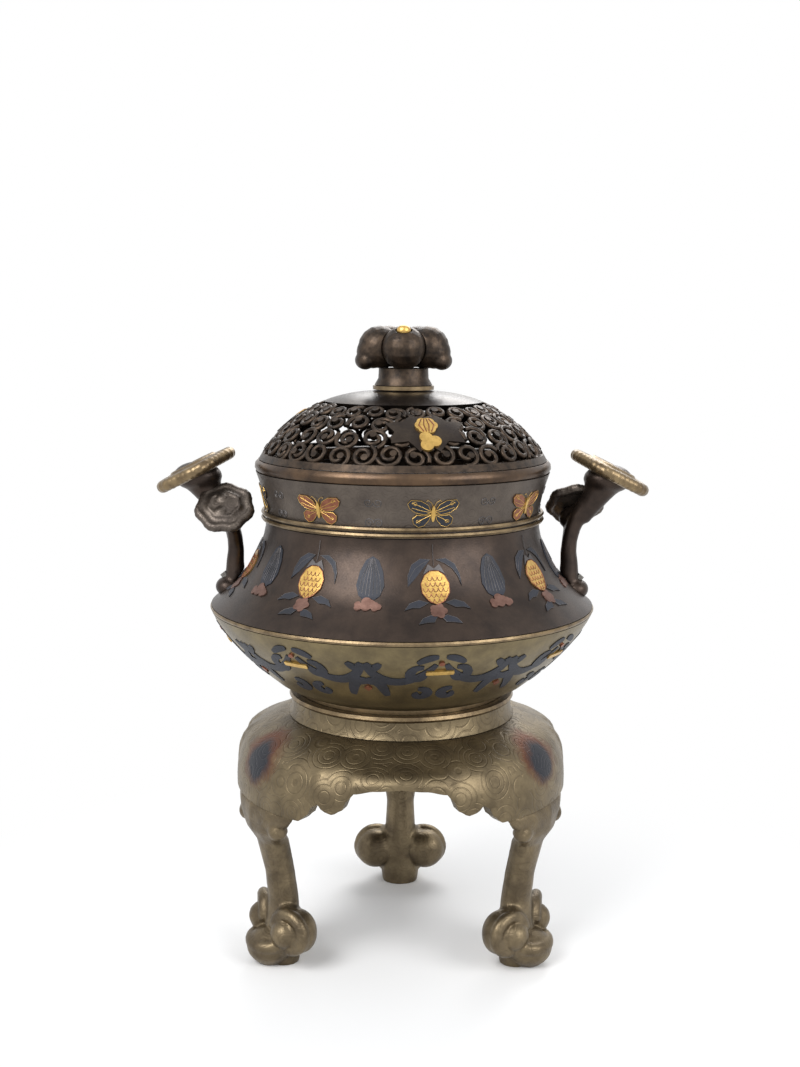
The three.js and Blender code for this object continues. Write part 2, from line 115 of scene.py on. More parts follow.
def patina(tree, place, light, dark, cloud):
    drift = add_node(tree, "ShaderNodeTexNoise", {
        "Vector": place, "Scale": cloud, "Detail": DRIFT_DETAIL, "Roughness": DRIFT_ROUGHNESS})
    ramp = add_node(tree, "ShaderNodeValToRGB", {"Fac": drift.outputs["Fac"]})
    for stop, position, tint in zip(ramp.color_ramp.elements, (DRIFT_FROM, DRIFT_TO), (dark, light)):
        stop.position = position
        stop.color = (*tint, 1)
    return drift.outputs["Fac"], ramp.outputs["Color"]


def cast_skin(tree, place, shader, roughness):
    grain = add_node(tree, "ShaderNodeTexNoise", {
        "Vector": place, "Scale": GRAIN_SCALE, "Detail": GRAIN_DETAIL})
    uneven = add_node(tree, "ShaderNodeMapRange", {
        "Value": grain.outputs["Fac"], "To Min": roughness - SMOOTHER_BY, "To Max": roughness + ROUGHER_BY})
    tree.links.new(uneven.outputs["Result"], shader.inputs["Roughness"])
    skin = add_node(tree, "ShaderNodeBump", {
        "Height": grain.outputs["Fac"], "Strength": GRAIN_STRENGTH, "Distance": GRAIN_DEPTH})
    return skin.outputs["Normal"]


# %% [markdown]
# The stand is engraved with cloud scrolls. Rings round the cells of a Voronoi pattern read as
# such scrolls: the sine of the distance to each cell's centre gives the rings, and only their
# crests are cut in, as a bump and as a darker line.

# %% Engraved scrolls
SCROLL_RINGS = 34
SCROLL_RANDOMNESS = 0.6
LINE_FROM = 0.55
LINE_TO = 0.95
LINE_DEPTH = 0.35 * MM
LINE_DARKNESS = 0.7
LINE_TINT = (0.45, 0.42, 0.4, 1)


def engraved(tree, place, colour, normal, strength, scale):
    cells = add_node(tree, "ShaderNodeTexVoronoi", {
        "Vector": place, "Scale": scale, "Randomness": SCROLL_RANDOMNESS})
    spread = add_node(tree, "ShaderNodeMath", {0: cells.outputs["Distance"], 1: SCROLL_RINGS},
                      operation="MULTIPLY")
    rings = add_node(tree, "ShaderNodeMath", {0: spread.outputs["Value"]}, operation="SINE")
    lines = add_node(tree, "ShaderNodeMapRange", {
        "Value": rings.outputs["Value"], "From Min": LINE_FROM, "From Max": LINE_TO})
    cut = add_node(tree, "ShaderNodeBump", {
        "Height": lines.outputs["Result"], "Normal": normal, "Strength": strength,
        "Distance": LINE_DEPTH}, invert=True)
    darker = add_node(tree, "ShaderNodeMath", {0: lines.outputs["Result"], 1: LINE_DARKNESS * strength},
                      operation="MULTIPLY")
    shade = add_node(tree, "ShaderNodeMix", {
        "Factor": darker.outputs["Value"], "A": colour, "B": LINE_TINT},
        data_type="RGBA", blend_type="MULTIPLY")
    return shade.outputs["Result"], cut.outputs["Normal"]


# %% [markdown]
# Heat stains show over each leg, a dark patch in a reddish edge. Each is a soft ball of colour
# round a point, and the slow noise is added to the distance, so its edge wanders.

# %% Heat stains
STAIN_EDGE = 1.5
STAIN_HEART = 1.1


def stained(tree, place, drift, colour, centre, radius, tint):
    far = add_node(tree, "ShaderNodeVectorMath", {0: place, 1: centre}, operation="DISTANCE")
    wander = add_node(tree, "ShaderNodeMath", {0: drift, 1: radius, 2: far.outputs["Value"]},
                      operation="MULTIPLY_ADD")
    near = add_node(tree, "ShaderNodeMapRange", {
        "Value": wander.outputs["Value"], "From Min": STAIN_EDGE * radius, "From Max": STAIN_HEART * radius})
    stain = add_node(tree, "ShaderNodeMix", {
        "Factor": near.outputs["Result"], "A": colour, "B": (*tint, 1)}, data_type="RGBA")
    return stain.outputs["Result"]


STAIN_BLACK = (0.03, 0.032, 0.04)
STAIN_RED = (0.13, 0.05, 0.025)
LEG_AZIMUTHS = {"left": 210, "right": 330, "back": 90}
STAIN_LAYERS = ((66, 92, 15, STAIN_RED), (68, 90, 11, STAIN_BLACK))
leg_stains = []
for azimuth in LEG_AZIMUTHS.values():
    swing = math.radians(azimuth)
    for reach, level, radius, tint in STAIN_LAYERS:
        centre = (reach * MM * math.cos(swing), reach * MM * math.sin(swing), level * MM)
        leg_stains.append((centre, radius * MM, tint))
print("stains", len(leg_stains))

# %% [markdown]
# One function makes each metal: its two tones, how rough it is, and how fine its clouds are.
# The metals of the stand, the legs and the neck are engraved, and the stand's is also stained.
# The inlaid metals get the same tree in their own colours.


# %% One function for every metal
def bronze(name, light, dark, roughness=0.38, cloud=90, metallic=0.85, engraving=0.0,
           engraving_scale=110, stains=()):
    material = bpy.data.materials.new(name)
    material.use_nodes = True
    tree = material.node_tree
    shader = tree.nodes["Principled BSDF"]
    shader.inputs["Metallic"].default_value = metallic
    place = add_node(tree, "ShaderNodeTexCoord", {}).outputs["Object"]
    drift, colour = patina(tree, place, light, dark, cloud)
    normal = cast_skin(tree, place, shader, roughness)
    if engraving:
        colour, normal = engraved(tree, place, colour, normal, engraving, engraving_scale)
    for centre, radius, tint in stains:
        colour = stained(tree, place, drift, colour, centre, radius, tint)
    tree.links.new(colour, shader.inputs["Base Color"])
    tree.links.new(normal, shader.inputs["Normal"])
    return material


# %% Cast metals
stand_bronze = bronze("stand_bronze", (0.20, 0.155, 0.09), (0.115, 0.088, 0.052),
                      engraving=0.35, engraving_scale=85, stains=leg_stains)
leg_bronze = bronze("leg_bronze", (0.19, 0.147, 0.088), (0.095, 0.072, 0.045),
                    engraving=0.25, engraving_scale=140)
belly_bronze = bronze("belly_bronze", (0.21, 0.165, 0.085), (0.125, 0.098, 0.055), roughness=0.34)
shoulder_bronze = bronze("shoulder_bronze", (0.060, 0.043, 0.034), (0.036, 0.027, 0.023), roughness=0.36)
neck_bronze = bronze("neck_bronze", (0.13, 0.108, 0.09), (0.085, 0.07, 0.06),
                     engraving=0.2, engraving_scale=160)
crown_bronze = bronze("crown_bronze", (0.055, 0.042, 0.032), (0.028, 0.021, 0.018),
                      roughness=0.3, cloud=120)
lid_bronze = bronze("lid_bronze", (0.075, 0.052, 0.036), (0.022, 0.017, 0.014),
                    roughness=0.4, cloud=220)
rim_bronze = bronze("rim_bronze", (0.12, 0.075, 0.045), (0.05, 0.034, 0.025), roughness=0.3)
brass = bronze("brass", (0.26, 0.19, 0.105), (0.12, 0.085, 0.05), roughness=0.32, cloud=160)
iron = bronze("iron", (0.28, 0.27, 0.25), (0.14, 0.13, 0.12), roughness=0.55)
print("cast metals ready")

# %% Inlaid metals
gold = bronze("gold", (0.66, 0.43, 0.13), (0.45, 0.28, 0.08), roughness=0.3, cloud=300)
copper = bronze("copper", (0.30, 0.12, 0.07), (0.17, 0.065, 0.04), roughness=0.36, cloud=200)
blossom_copper = bronze("blossom_copper", (0.21, 0.12, 0.095), (0.13, 0.07, 0.055),
                        roughness=0.4, cloud=260)
blue_black = bronze("blue_black", (0.018, 0.021, 0.033), (0.008, 0.010, 0.016),
                    roughness=0.5, metallic=0.15)
grey_inlay = bronze("grey_inlay", (0.13, 0.12, 0.12), (0.08, 0.075, 0.075), roughness=0.45)
print("materials", len(bpy.data.materials))

# %% [markdown]
# Every new piece ends the same way: its faces are shaded smooth up to an angle, it gets its
# metal, it rides on its body, and the CAD nodes it stands in for, if any, are hidden. An
# operator acts on all that is selected, so each helper first selects its own piece alone.

# %% Helpers for finished pieces
SHARP = math.radians(38)


def select_only(piece):
    bpy.ops.object.select_all(action="DESELECT")
    piece.select_set(True)
    bpy.context.view_layer.objects.active = piece


def new_piece(name, data):
    piece = bpy.data.objects.new(name, data)
    bpy.context.collection.objects.link(piece)
    select_only(piece)
    return piece


def point_faces_outwards():
    bpy.ops.mesh.select_all(action="SELECT")
    bpy.ops.mesh.normals_make_consistent(inside=False)


def finish_piece(piece, body, material, slot, *nodes):
    select_only(piece)
    bpy.ops.object.shade_smooth_by_angle(angle=SHARP)
    piece.data.materials.clear()
    piece.data.materials.append(material)
    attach(piece, body)
    if nodes:
        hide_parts(*nodes)


# %% [markdown]
# The bowl, rims and rings were cast round and turned on a lathe. The CAD solid has a few dozen
# facets, which show on a shiny rim. More facets could be cut into it, but it is simpler to read
# its cross-section from the frame: the vertices that lie in one upright half plane, walked from
# the lowest one outwards.

# %% Read a cross-section
MERGE_GAP = 1e-6
IN_PLANE = 2e-5
ON_AXIS = 1e-5
FRONT_AZIMUTH = 270


def merged(node):
    shape = bmesh.new()
    shape.from_mesh(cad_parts[node].data)
    bmesh.ops.remove_doubles(shape, verts=shape.verts, dist=MERGE_GAP)
    return shape


def profile_of(node, azimuth=FRONT_AZIMUTH):
    swing = math.radians(azimuth)
    along = Vector((math.cos(swing), math.sin(swing), 0))
    across = Vector((-along.y, along.x, 0))
    shape = merged(node)
    spots = {v.index: (v.co @ along, v.co.z) for v in shape.verts
             if abs(v.co @ across) < IN_PLANE and v.co @ along > -MERGE_GAP}
    near = {i: set() for i in spots}
    for edge in shape.edges:
        a, b = edge.verts[0].index, edge.verts[1].index
        if a in spots and b in spots:
            near[a].add(b)
            near[b].add(a)
    shape.free()
    ends = [i for i in spots if len(near[i]) == 1 and spots[i][0] < ON_AXIS]
    here = min(ends or spots, key=lambda i: spots[i][1])
    path = [here]
    while True:
        ahead = [i for i in near[here] if i not in path]
        if not ahead:
            break
        here = max(ahead, key=lambda i: spots[i][0])
        path.append(here)
    return [spots[i] for i in path], not ends


# %% [markdown]
# The cross-section is then spun round the axis, as a lathe would, in many more steps than the
# solid has. A point on the axis is copied at every step, so doubles are merged before the faces
# are turned outwards.

# %% Spin the turned pieces
TURN_STEPS = 160


def spun(name, profile, closed=True, steps=TURN_STEPS):
    edges = [(i, i + 1) for i in range(len(profile) - 1)]
    if closed:
        edges.append((len(profile) - 1, 0))
    mesh = bpy.data.meshes.new(name)
    mesh.from_pydata([(r, 0, z) for r, z in profile], edges, [])
    piece = new_piece(name, mesh)
    bpy.ops.object.mode_set(mode="EDIT")
    bpy.ops.mesh.select_all(action="SELECT")
    bpy.ops.mesh.spin(steps=steps, angle=FULL_TURN, center=(0, 0, 0), axis=(0, 0, 1))
    bpy.ops.mesh.select_all(action="SELECT")
    bpy.ops.mesh.remove_doubles(threshold=MERGE_GAP)
    point_faces_outwards()
    bpy.ops.object.mode_set(mode="OBJECT")
    return piece


TURNED = {
    "bowl_belly": ("bowl", belly_bronze, "bronze_olive"),
    "bowl_ridge_band": ("bowl", brass, "brass_trim"),
    "bowl_shoulder": ("bowl", shoulder_bronze, "bronze_brown"),
    "bowl_neck": ("bowl", neck_bronze, "bronze_grey"),
    "bowl_foot_ring": ("bowl", brass, "brass_trim"),
    "neck_bead_lower": ("bowl", brass, "brass_trim"),
    "neck_bead_upper": ("bowl", brass, "brass_trim"),
    "lid_rim": ("lid", rim_bronze, "bronze_brown"),
    "lid_flange": ("lid", lid_bronze, "bronze_dark"),
    "finial_base_ring": ("lid", brass, "brass_trim"),
    "finial_stem": ("lid", lid_bronze, "bronze_dark"),
    "stand_collar": ("stand", stand_bronze, "bronze_olive"),
    "collar_bead": ("stand", brass, "brass_trim"),
    "ash_liner": ("liner", iron, "iron_fixings"),
}
profiles = {}
for node, (body, material, slot) in TURNED.items():
    profiles[node], closed = profile_of(node)
    finish_piece(spun(node + "_turned", profiles[node], closed), body, material, slot, node)
print("turned pieces", len(profiles))

# %% [markdown]
# The drum's lower edge is a bracket: a flat arch, a drop to a small lobe, a notch and then the
# leg. It could be cut out of the wall, but a cut leaves ragged shading. Here the drum is spun
# from its uncut section in many short steps, and its lower part is drawn up to that edge.

# %% Drum with its apron
ARCH_AZIMUTHS = (30, 150, 270)
UNCUT_AZIMUTH = 310
DRUM_STEPS = 288
PROFILE_STEP = 2.5 * MM
APRON_TOP = 96.0 * MM
# Each pair is a distance from the middle of an arch, round the drum, and the edge's height.
APRON_EDGE = [(0, 89.7), (10, 88.9), (19, 87.2), (21.5, 84), (24, 79.6), (28, 77.6), (32, 78.4),
              (34.5, 81), (37, 79.5), (40, 75), (44, 72.2), (60, 72)]


def edge_height(reach):
    for (start, low), (end, high) in zip(APRON_EDGE, APRON_EDGE[1:]):
        if reach <= end:
            share = (reach - start) / (end - start)
            return low + share * share * (3 - 2 * share) * (high - low)
    return APRON_EDGE[-1][1]


drum_profile, _ = profile_of("stand_drum", UNCUT_AZIMUTH)
fine_profile = []
for (r0, z0), (r1, z1) in zip(drum_profile, drum_profile[1:] + drum_profile[:1]):
    cuts = max(1, int(math.hypot(r1 - r0, z1 - z0) / PROFILE_STEP))
    fine_profile += [(r0 + (r1 - r0) * i / cuts, z0 + (z1 - z0) * i / cuts) for i in range(cuts)]
drum = spun("stand_drum_cast", fine_profile, steps=DRUM_STEPS)
drum_radius = max(r for r, _ in drum_profile)
drum_foot = min(z for _, z in drum_profile)
for vert in drum.data.vertices:
    if vert.co.z < APRON_TOP:
        turn = math.degrees(math.atan2(vert.co.y, vert.co.x)) % 360
        off = min(abs((turn - arch + 180) % 360 - 180) for arch in ARCH_AZIMUTHS)
        edge = edge_height(math.radians(off) * drum_radius / MM) * MM
        depth = (APRON_TOP - vert.co.z) / (APRON_TOP - drum_foot)
        vert.co.z = APRON_TOP - depth * (APRON_TOP - edge)
finish_piece(drum, "stand", stand_bronze, "bronze_olive", "stand_drum")
print("drum vertices", len(drum.data.vertices))

# %% [markdown]
# Legs, handles and finial were modelled in wax and then cast. The CAD solid takes the place of
# the wax core, except for the caps, and balls and strings of balls are pressed onto it. A voxel
# remesh joins all of it into one skin, as melting does, and a few smoothing rounds take the
# facets away.

# %% Wax shapes
BALL_ROUNDNESS = 3
BALL_SPACING = 0.5


def ball(shape, centre, radii, turn=Matrix.Identity(4)):
    sizes = Matrix.Diagonal((*[radius * MM for radius in radii], 1))
    bmesh.ops.create_icosphere(shape, subdivisions=BALL_ROUNDNESS, radius=1,
                               matrix=turn @ Matrix.Translation(Vector(centre) * MM) @ sizes)


def roll(shape, points, radius, turn):
    for start, end in zip(points, points[1:]):
        start, end = Vector(start), Vector(end)
        count = max(1, int((end - start).length / (BALL_SPACING * radius)))
        for i in range(count):
            ball(shape, start.lerp(end, i / count), (radius,) * 3, turn)


def sweep(start, angle, steps):
    return [start + angle * i / steps for i in range(steps + 1)]


def cast_piece(node, body, material, slot, voxel, rounds, wax=None, keep_core=True, swell=0):
    shape = merged(node)
    if not keep_core:
        shape.clear()
    if wax:
        wax(shape)
    mesh = bpy.data.meshes.new(node + "_cast")
    shape.to_mesh(mesh)
    shape.free()
    piece = new_piece(node + "_cast", mesh)
    skin = piece.modifiers.new("skin", "REMESH")
    skin.mode = "VOXEL"
    skin.voxel_size = voxel * MM
    soften = piece.modifiers.new("soften", "SMOOTH")
    soften.factor = 0.5
    soften.iterations = rounds
    for modifier in ("skin", "soften"):
        bpy.ops.object.modifier_apply(modifier=modifier)
    if swell:
        grow = piece.modifiers.new("swell", "DISPLACE")
        grow.strength = swell * MM
        grow.mid_level = 0
        bpy.ops.object.modifier_apply(modifier="swell")
        for vert in piece.data.vertices:
            vert.co.z = max(vert.co.z, 0)
    finish_piece(piece, body, material, slot, node)


# %% [markdown]
# A leg ends in a trefoil: two side lobes and a toe, each with a rolled rim. The foot is drawn
# once, with the leg pointing along X, and turned to each leg's azimuth. The legs swell by just
# under a millimetre, because the smoothing thins them, and their soles stay flat on the floor.

# %% Legs with trefoil feet
SIDE_LOBE = ((56, 12, 16.5), (6.5, 8.5, 8.5))
LOBE_ROOT = ((58, 6, 20), (6, 6, 6))
TOE = ((63, 0, 7.4), (10, 9.5, 7.2))
RIM_ROLL = 1.9
ROOT_ROLL = 2.4
RIM_STEPS = 16
LEG_SWELL = 0.9


def trefoil_foot(shape, azimuth):
    turn = Matrix.Rotation(math.radians(azimuth), 4, "Z")
    for side in (-1, 1):
        for (x, y, z), radii in (SIDE_LOBE, LOBE_ROOT):
            ball(shape, (x, side * y, z), radii, turn)
        rim = [(61.0 - 3.0 * math.cos(t), side * (12.6 + 7.4 * math.cos(t)), 17 + 7.6 * math.sin(t))
               for t in sweep(-1.5, 4.6, RIM_STEPS)]
        roll(shape, rim, RIM_ROLL, turn)
        roll(shape, [(57, side * 1.0, 27), (58, side * 5, 25), (61, side * 8, 23.6)], ROOT_ROLL, turn)
    ball(shape, *TOE, turn)
    toe_rim = [(64 + 7.5 * math.cos(t), 9.4 * math.sin(t), 10.5 - 1.0 * math.cos(t))
               for t in sweep(-1.9, 3.8, RIM_STEPS)]
    roll(shape, toe_rim, RIM_ROLL, turn)


for side, azimuth in LEG_AZIMUTHS.items():
    cast_piece(f"leg_{side}", "stand", leg_bronze, "bronze_olive", 0.8, 8,
               lambda shape: trefoil_foot(shape, azimuth), swell=LEG_SWELL)
print("legs", len(LEG_AZIMUTHS))

# %% [markdown]
# The handles are fungus stalks. Each cap is a low dome in a thick, wavy rolled rim with a ridge
# ring on it, and the small cap has two eyes. The caps are drawn flat and tilted into place, and
# the stalk flares out under the large cap. The left handle is the right one turned half round.

# %% Fungus handles
CAP_LEAN = math.radians(27)
RIM_SHARE = 0.92
RIDGE_SHARE = 0.55
WAVE_DEPTH = 0.05
RING_STEPS = 40
FLARE_BALLS = 10


def fungus_cap(shape, centre, normal, radius, thick, waves, eyes=False):
    tilt = Vector(normal).to_track_quat("Z", "X").to_matrix().to_4x4()
    turn = Matrix.Translation(Vector(centre) * MM) @ tilt
    ball(shape, (0, 0, 0), (radius * 0.93, radius * 0.93, thick * 1.05), turn)
    for share, bead, rise in ((RIM_SHARE, thick * 0.8, 0.0), (RIDGE_SHARE, thick * 0.36, thick * 0.75)):
        ring = []
        for t in sweep(0, FULL_TURN, RING_STEPS):
            reach = radius * share * (1 - WAVE_DEPTH + WAVE_DEPTH * math.cos(waves * t))
            ring.append((reach * math.cos(t), reach * math.sin(t), rise))
        roll(shape, ring, bead, turn)
    if eyes:
        for side in (-1, 1):
            ball(shape, (side * radius * 0.3, radius * 0.1, thick * 0.9),
                 (radius * 0.2, radius * 0.2, 1.2), turn)


def large_cap(shape, way):
    normal = (way * math.sin(CAP_LEAN), 0, math.cos(CAP_LEAN))
    fungus_cap(shape, (way * 89.0, 0, 207.6), normal, 17.8, 3.4, waves=5)


def small_cap(shape, way):
    fungus_cap(shape, (way * 75.4, way * 9.8, 192.6), (0, way * 0.72, 0.69), 12.0, 2.6, waves=7, eyes=True)


def flared_stalk(shape, way):
    for i in range(FLARE_BALLS):
        share = i / (FLARE_BALLS - 1)
        size = 10.5 - 6.0 * math.sqrt(share)
        ball(shape, (way * (88 - 11 * share), 0, 205 - 17 * share), (size, size * 0.9, size * 0.6))
    ball(shape, (way * 73, way * 6, 187), (5, 5, 5))
    ball(shape, (way * 75.5, 0, 157), (5.5, 6.5, 4.5))


HANDLES = {"left": -1, "right": 1}
for side, way in HANDLES.items():
    cast_piece(f"handle_stalk_{side}", "bowl", shoulder_bronze, "bronze_brown", 0.7, 6,
               lambda shape: flared_stalk(shape, way))
    cast_piece(f"handle_cap_{side}", "bowl", brass, "brass_trim", 0.6, 4,
               lambda shape: large_cap(shape, way), keep_core=False)
    cast_piece(f"handle_small_cap_{side}", "bowl", neck_bronze, "bronze_grey", 0.5, 3,
               lambda shape: small_cap(shape, way), keep_core=False)
print("handles", len(HANDLES))

# %% [markdown]
# The finial is a cluster of five pods. The front one stays round and carries a gold button, and
# the other four droop outwards, so each gets two more balls further out and lower.

# %% Finial
LOBE_COUNT = 5
POD_SWELL = ((13.5, 0, 258.5), (7, 7.5, 7))
POD_TIP = ((17, 0, 255), (4.2, 6, 4))


def drooping_pod(shape, number):
    turn = Matrix.Rotation(math.radians(FRONT_AZIMUTH + 360 / LOBE_COUNT * (number - 1)), 4, "Z")
    if number > 1:
        ball(shape, *POD_SWELL, turn)
        ball(shape, *POD_TIP, turn)


for number in range(1, LOBE_COUNT + 1):
    cast_piece(f"finial_lobe_{number}", "lid", lid_bronze, "bronze_dark", 0.45, 5,
               lambda shape: drooping_pod(shape, number))
cast_piece("finial_button", "lid", gold, "brass_trim", 0.25, 3)
print("finial lobes", LOBE_COUNT)

# %% [markdown]
# Inlay lies in the surface of the turned metal. A motif is drawn flat, across and along the
# profile, and every point is then carried onto the metal: its height goes along the outer side
# of the profile, its width goes round the axis, and its lift goes straight out.


# %% Points on a turned surface
def outer_side(profile):
    top = max(range(len(profile)), key=lambda i: (profile[i][1], profile[i][0]))
    return profile[: top + 1]


def on_surface(side, azimuth, level, across, along, lift):
    length = 0
    run = []
    for (r0, z0), (r1, z1) in zip(side, side[1:]):
        step = math.hypot(r1 - r0, z1 - z0)
        run.append((length, step, r0, z0, r1, z1))
        length += step
    start = next((s + step * (level * MM - z0) / (z1 - z0) for s, step, r0, z0, r1, z1 in run
                  if z0 <= level * MM <= z1), 0)
    want = min(max(start + along * MM, 0), length - 1e-7)
    s, step, r0, z0, r1, z1 = next(item for item in run if item[0] <= want < item[0] + item[1])
    mix = (want - s) / step
    r, z = r0 + mix * (r1 - r0), z0 + mix * (z1 - z0)
    out_r, out_z = (z1 - z0) / step, -(r1 - r0) / step
    turn = math.radians(azimuth) + across * MM / r
    r, z = r + lift * MM * out_r, z + lift * MM * out_z
    return Vector((r * math.cos(turn), r * math.sin(turn), z))


def carrier(side, level):
    return lambda azimuth, x, y, lift: on_surface(side, azimuth, level, x, y, lift)


# %% [markdown]
# Three helpers make the inlay. One fills outlines with small triangles, so that they can bend.
# One draws ribbons that taper at both ends. One bevels fine wires. Plates and ribbons are
# carried onto the metal as thin sheets and get their thickness last, half to each side.


# %% Plates, ribbons and wires
def thickened(piece, thick):
    select_only(piece)
    solid = piece.modifiers.new("thick", "SOLIDIFY")
    solid.thickness = thick * MM
    solid.offset = 0
    bpy.ops.object.modifier_apply(modifier="thick")
    bpy.ops.object.mode_set(mode="EDIT")
    point_faces_outwards()
    bpy.ops.object.mode_set(mode="OBJECT")
    return piece


def plates(name, outlines, carry, body, material, slot, thick, lift):
    shape = bmesh.new()
    for outline, where in outlines:
        plate = bmesh.new()
        plate.faces.new([plate.verts.new((x, y, 0)) for x, y in outline])
        bmesh.ops.triangulate(plate, faces=plate.faces)
        bmesh.ops.subdivide_edges(plate, edges=plate.edges, cuts=2, use_grid_fill=True)
        bmesh.ops.triangulate(plate, faces=plate.faces)
        for vert in plate.verts:
            vert.co = carry(where, vert.co.x, vert.co.y, lift)
        plate.verts.index_update()
        corners = [shape.verts.new(vert.co) for vert in plate.verts]
        for face in plate.faces:
            shape.faces.new([corners[vert.index] for vert in face.verts])
        plate.free()
    mesh = bpy.data.meshes.new(name)
    shape.to_mesh(mesh)
    shape.free()
    finish_piece(thickened(new_piece(name, mesh), thick), body, material, slot)


TAPER_END = 0.45
TAPER_POWER = 0.6


def ribbons(name, lines, width, carry, body, material, slot, thick, lift):
    corners, faces = [], []
    for points, where in lines:
        last = len(points) - 1
        for i, (x, y) in enumerate(points):
            (x0, y0), (x1, y1) = points[max(i - 1, 0)], points[min(i + 1, last)]
            size = math.hypot(x1 - x0, y1 - y0) or 1
            swelling = math.sin(math.pi * i / last) ** TAPER_POWER
            half = 0.5 * width * (TAPER_END + (1 - TAPER_END) * swelling)
            for side in (-1, 0, 1):
                out_x, out_y = -side * half * (y1 - y0) / size, side * half * (x1 - x0) / size
                corners.append(carry(where, x + out_x, y + out_y, lift))
            if i:
                first = len(corners) - 6
                faces.append((first, first + 1, first + 4, first + 3))
                faces.append((first + 1, first + 2, first + 5, first + 4))
    mesh = bpy.data.meshes.new(name)
    mesh.from_pydata(corners, [], faces)
    finish_piece(thickened(new_piece(name, mesh), thick), body, material, slot)


def wires(name, lines, carry, radius, body, material, slot, lift, roundness=1):
    curve = bpy.data.curves.new(name, "CURVE")
    curve.dimensions = "3D"
    curve.bevel_depth = radius * MM
    curve.bevel_resolution = roundness
    curve.use_fill_caps = True
    for points, where in lines:
        spline = curve.splines.new("POLY")
        spline.points.add(len(points) - 1)
        for point, (x, y) in zip(spline.points, points):
            point.co = (*carry(where, x, y, lift), 1)
    new_piece(name, curve)
    bpy.ops.object.convert(target="MESH")
    finish_piece(bpy.context.object, body, material, slot)


# %% [markdown]
# The motifs share a few flat shapes: a curl that winds inwards, an oval and a flower. Most are
# the same on both sides and go round the burner, so two helpers mirror and repeat them.

# %% Flat shapes
CURL_STEPS = 9
FLOWER_STEPS = 36
EYE_OF_CURL = 0.82


def curl(x, y, radius, turns, start=0.0, way=1, steps=CURL_STEPS, shrink=EYE_OF_CURL):
    count = max(6, int(turns * steps))
    points = []
    for i in range(count + 1):
        share = i / count
        turn = start + way * FULL_TURN * turns * share
        reach = radius * (1 - shrink * share)
        points.append((x + reach * math.cos(turn), y + reach * math.sin(turn)))
    return points


def oval(x, y, half_width, half_height, count=14):
    turns = [FULL_TURN * i / count for i in range(count)]
    return [(x + half_width * math.cos(t), y + half_height * math.sin(t)) for t in turns]


def flower(x, y, radius, petals, depth=0.28):
    points = []
    for i in range(FLOWER_STEPS):
        turn = FULL_TURN * i / FLOWER_STEPS
        reach = radius * (1 - depth + depth * abs(math.cos(petals * turn / 2)))
        points.append((x + reach * math.cos(turn), y + reach * math.sin(turn)))
    return points


def closed_line(outline):
    return outline + outline[:1]


def both_sides(shapes):
    return [half for shape in shapes for half in (shape, [(-x, y) for x, y in shape])]


def repeat(azimuths, shapes):
    return [(shape, azimuth) for azimuth in azimuths for shape in shapes]


MOTIFS = 8
FIRST_COPPER = 236.5
motif_azimuths = [FIRST_COPPER + 360 / MOTIFS * i for i in range(MOTIFS)]
middle_azimuths = [azimuth + 180 / MOTIFS for azimuth in motif_azimuths]
print("motifs at", motif_azimuths)

# %% [markdown]
# Eight butterflies go round the neck, copper and blue-black in turn, each with gold veins. They
# are 20 mm wide, with a large upper and a small lower wing on each side. Only one side is
# drawn, and faint scrolls fill the gaps.

# %% Butterflies on the neck
NECK_LEVEL = 197.5
on_neck = carrier(outer_side(profiles["bowl_neck"]), NECK_LEVEL)
upper_wing = [(0.7, 0.6), (2.2, 3.6), (5.2, 5.4), (9.0, 5.6), (10.2, 4.2), (9.4, 2.2), (7.0, 0.4),
              (3.2, -0.5)]
lower_wing = [(0.7, -0.2), (3.4, -0.9), (6.4, -0.6), (8.0, -2.0), (7.6, -4.2), (5.6, -5.6),
              (3.4, -5.0), (1.6, -2.8)]
veins = [
    [(0.8, 0.8), (4.2, 2.6), (8.6, 4.6)],
    [(0.8, 0.4), (4.6, 1.2), (8.4, 2.4)],
    [(0.8, -0.6), (4.0, -2.2), (6.4, -3.8)],
    closed_line(upper_wing),
    closed_line(lower_wing),
    curl(7.4, 4.0, 1.1, 1.2),
    curl(5.6, -3.4, 1.0, 1.2),
]
feeler = [(0.3, 3.0), (1.0, 4.6), (2.4, 5.6), (3.0, 5.0)]
wings = both_sides([upper_wing, lower_wing])
plates("butterfly_wings_copper", repeat(motif_azimuths[::2], wings), on_neck, "bowl", copper,
       "bronze_grey", thick=0.5, lift=0.2)
plates("butterfly_wings_dark", repeat(motif_azimuths[1::2], wings), on_neck, "bowl", blue_black,
       "bronze_grey", thick=0.5, lift=0.2)
wires("butterfly_veins", repeat(motif_azimuths, both_sides(veins + [feeler])), on_neck, 0.11, "bowl",
      gold, "brass_trim", lift=0.5)
plates("butterfly_bodies", repeat(motif_azimuths, [oval(0, 0, 0.8, 3.4)]), on_neck, "bowl", gold,
       "brass_trim", thick=0.9, lift=0.4)
scrolls = []
for y, way in ((4.2, 1), (-4.2, -1)):
    scrolls.append(curl(1.9, y, 2.0, 1.5, math.pi, way))
    scrolls.append(curl(-1.9, y, 2.0, 1.5, 0, -way))
wires("neck_scrolls", repeat(middle_azimuths, scrolls), on_neck, 0.2, "bowl", grey_inlay, "bronze_grey",
      lift=0.05)
print("butterflies", MOTIFS)

# %% [markdown]
# Under each butterfly a gold bud hangs on the shoulder, with a grey calyx, dark leaves that
# arch away from it and a copper blossom below. Its scales are short copper wires, laid in rows
# and left out where they would miss the bud.

